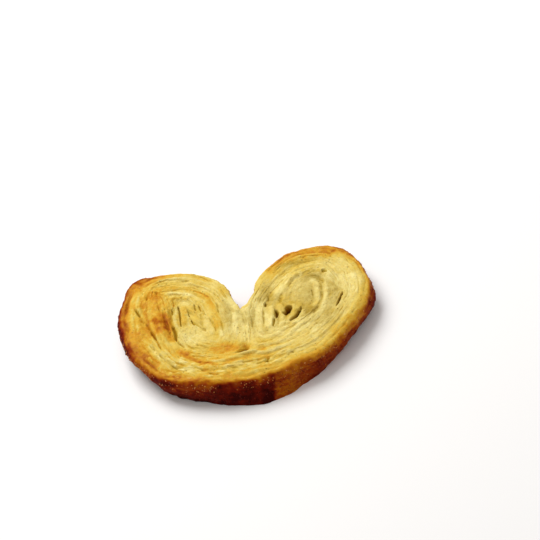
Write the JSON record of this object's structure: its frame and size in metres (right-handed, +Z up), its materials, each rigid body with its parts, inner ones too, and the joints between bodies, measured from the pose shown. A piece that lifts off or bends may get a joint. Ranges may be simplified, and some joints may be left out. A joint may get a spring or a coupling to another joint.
{
  "type": "palmier",
  "caption": "Flat heart-shaped puff pastry slice, rolled in from both sides, with ridged spiral layers on its face and a browned sugared crust round its side.",
  "frame": {"origin": "middle of the bounding box at the flat underside", "axes": "+X across both lobes, +Y from the rounded tip to the notch between the lobes, +Z up out of the ridged face"},
  "size_m": [0.1099, 0.0794, 0.0137],
  "materials": {
    "golden_pastry": "matte baked pastry, pale gold on the face and red-brown on the side"
  },
  "bodies": {
    "root": {"palmier": "golden_pastry"}
  },
  "joints": []
}
